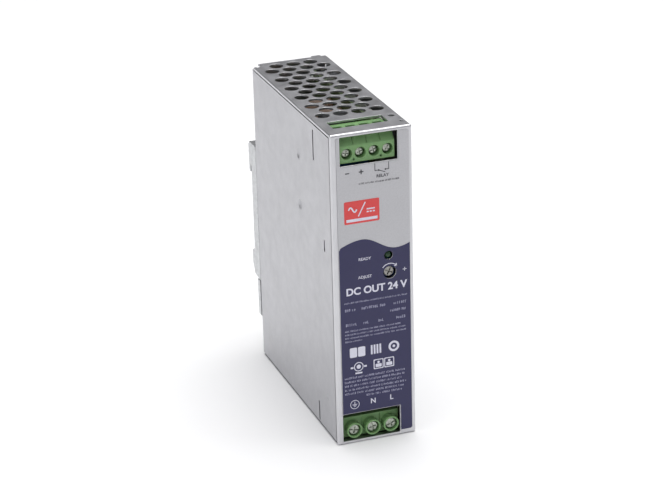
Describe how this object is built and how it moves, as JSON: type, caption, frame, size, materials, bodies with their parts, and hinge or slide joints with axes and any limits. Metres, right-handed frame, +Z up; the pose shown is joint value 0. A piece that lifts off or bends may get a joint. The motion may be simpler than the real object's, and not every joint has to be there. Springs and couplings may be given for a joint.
{
  "type": "din rail power supply",
  "caption": "Slim metal-cased power supply for a 35 mm rail, with sprung rail latch, green screw terminals above and below, and a voltage trimmer.",
  "frame": {"origin": "centre of the rail seat, on the plane where the rail's flanges touch the bracket", "axes": "+X to the right seen from the front, +Y to the rear into the rail, +Z up"},
  "size_m": [0.032, 0.102, 0.1252],
  "materials": {
    "sheet_metal": "satin sheet, fine brushed grain",
    "bracket_metal": "satin",
    "label_film": "printed satin film, dark blue over silver grey",
    "insulating_film": "translucent film",
    "screw_steel": "nickel plated",
    "spring_steel": "drawn wire",
    "green_plastic": "moulded polyamide",
    "contact_copper": "tinned copper",
    "circuit_board": "glass-fibre board with solder mask",
    "ferrite": "sintered",
    "black_resin": "moulded",
    "yellow_tape": "polyester tape",
    "winding_copper": "enamelled wire",
    "capacitor_sleeve": "shrink sleeve",
    "heatsink_aluminium": "satin",
    "blue_plastic": "moulded",
    "ceramic": "ceramic tube with metal caps",
    "grey_plastic": "moulded",
    "green_lens": "clear tinted"
  },
  "bodies": {
    "case": {"chassis": "sheet_metal", "side_cover": "sheet_metal", "front_label": "label_film", "insulation_sheet": "insulating_film", "rail_bracket": "bracket_metal", "bracket_screw_1": "screw_steel", "bracket_screw_2": "screw_steel", "board_screw_1": "screw_steel", "board_screw_2": "screw_steel", "output_terminal_housing": "green_plastic", "input_terminal_housing": "green_plastic", "output_contact_1": "contact_copper", "output_contact_2": "contact_copper", "output_contact_3": "contact_copper", "output_contact_4": "contact_copper", "input_contact_1": "contact_copper", "input_contact_2": "contact_copper", "input_contact_3": "contact_copper", "main_board": "circuit_board", "output_terminal_board": "circuit_board", "input_terminal_board": "circuit_board", "transformer_core": "ferrite", "line_choke_core": "ferrite", "transformer_bobbin": "black_resin", "output_inductor": "black_resin", "bridge_rectifier": "black_resin", "switching_transistor": "black_resin", "output_rectifier": "black_resin", "transformer_winding": "yellow_tape", "line_capacitor": "yellow_tape", "line_choke_coil_1": "winding_copper", "line_choke_coil_2": "winding_copper", "bulk_capacitor_1": "capacitor_sleeve", "bulk_capacitor_2": "capacitor_sleeve", "output_capacitor_1": "capacitor_sleeve", "output_capacitor_2": "capacitor_sleeve", "primary_heatsink": "heatsink_aluminium", "secondary_heatsink": "heatsink_aluminium", "trimmer_body": "blue_plastic", "alarm_relay": "blue_plastic", "fuse": "ceramic", "status_led": "green_lens"},
    "latch": {"latch_slider": "bracket_metal", "latch_spring": "spring_steel"},
    "trimmer": {"trimmer_rotor": "grey_plastic"},
    "output_screw_1": {"output_screw_1": "screw_steel"},
    "output_clamp_1": {"output_clamp_1": "screw_steel"},
    "output_screw_2": {"output_screw_2": "screw_steel"},
    "output_clamp_2": {"output_clamp_2": "screw_steel"},
    "output_screw_3": {"output_screw_3": "screw_steel"},
    "output_clamp_3": {"output_clamp_3": "screw_steel"},
    "output_screw_4": {"output_screw_4": "screw_steel"},
    "output_clamp_4": {"output_clamp_4": "screw_steel"},
    "input_screw_1": {"input_screw_1": "screw_steel"},
    "input_clamp_1": {"input_clamp_1": "screw_steel"},
    "input_screw_2": {"input_screw_2": "screw_steel"},
    "input_clamp_2": {"input_clamp_2": "screw_steel"},
    "input_screw_3": {"input_screw_3": "screw_steel"},
    "input_clamp_3": {"input_clamp_3": "screw_steel"}
  },
  "joints": [
    {"name": "latch_slide", "type": "slide", "parent": "case", "child": "latch", "axis": [0, 0, -1], "range_m": [0, 0.0045], "stiffness_N_per_m": 2200, "springref_m": -0.004, "deforming": ["latch_spring"]},
    {"name": "trimmer_turn", "type": "hinge", "parent": "case", "child": "trimmer", "pos_m": [0.0063, -0.095, 0.0058], "axis": [0, 1, 0], "range_deg": [-135, 135]},
    {"name": "output_screw_1_turn", "type": "hinge", "parent": "case", "child": "output_screw_1", "pos_m": [-0.00915, -0.0964, 0.0542], "axis": [0, 1, 0], "range_deg": [0, 1800.01]},
    {"name": "output_clamp_1_lift", "type": "slide", "parent": "case", "child": "output_clamp_1", "axis": [0, -1, 0], "range_m": [0, 0.002]},
    {"name": "output_screw_2_turn", "type": "hinge", "parent": "case", "child": "output_screw_2", "pos_m": [-0.00385, -0.0964, 0.0542], "axis": [0, 1, 0], "range_deg": [0, 1800.01]},
    {"name": "output_clamp_2_lift", "type": "slide", "parent": "case", "child": "output_clamp_2", "axis": [0, -1, 0], "range_m": [0, 0.002]},
    {"name": "output_screw_3_turn", "type": "hinge", "parent": "case", "child": "output_screw_3", "pos_m": [0.00145, -0.0964, 0.0542], "axis": [0, 1, 0], "range_deg": [0, 1800.01]},
    {"name": "output_clamp_3_lift", "type": "slide", "parent": "case", "child": "output_clamp_3", "axis": [0, -1, 0], "range_m": [0, 0.002]},
    {"name": "output_screw_4_turn", "type": "hinge", "parent": "case", "child": "output_screw_4", "pos_m": [0.00675, -0.0964, 0.0542], "axis": [0, 1, 0], "range_deg": [0, 1800.01]},
    {"name": "output_clamp_4_lift", "type": "slide", "parent": "case", "child": "output_clamp_4", "axis": [0, -1, 0], "range_m": [0, 0.002]},
    {"name": "input_screw_1_turn", "type": "hinge", "parent": "case", "child": "input_screw_1", "pos_m": [-0.0088, -0.0976, -0.0575], "axis": [0, 1, 0], "range_deg": [0, 1800.01]},
    {"name": "input_clamp_1_lift", "type": "slide", "parent": "case", "child": "input_clamp_1", "axis": [0, -1, 0], "range_m": [0, 0.0025]},
    {"name": "input_screw_2_turn", "type": "hinge", "parent": "case", "child": "input_screw_2", "pos_m": [-0.00135, -0.0976, -0.0575], "axis": [0, 1, 0], "range_deg": [0, 1800.01]},
    {"name": "input_clamp_2_lift", "type": "slide", "parent": "case", "child": "input_clamp_2", "axis": [0, -1, 0], "range_m": [0, 0.0025]},
    {"name": "input_screw_3_turn", "type": "hinge", "parent": "case", "child": "input_screw_3", "pos_m": [0.0061, -0.0976, -0.0575], "axis": [0, 1, 0], "range_deg": [0, 1800.01]},
    {"name": "input_clamp_3_lift", "type": "slide", "parent": "case", "child": "input_clamp_3", "axis": [0, -1, 0], "range_m": [0, 0.0025]}
  ],
  "couplings": [
    {"joint": "output_screw_1_turn", "follows": "output_clamp_1_lift", "rad_per_m": 15708},
    {"joint": "output_screw_2_turn", "follows": "output_clamp_2_lift", "rad_per_m": 15708},
    {"joint": "output_screw_3_turn", "follows": "output_clamp_3_lift", "rad_per_m": 15708},
    {"joint": "output_screw_4_turn", "follows": "output_clamp_4_lift", "rad_per_m": 15708},
    {"joint": "input_screw_1_turn", "follows": "input_clamp_1_lift", "rad_per_m": 12566},
    {"joint": "input_screw_2_turn", "follows": "input_clamp_2_lift", "rad_per_m": 12566},
    {"joint": "input_screw_3_turn", "follows": "input_clamp_3_lift", "rad_per_m": 12566}
  ]
}
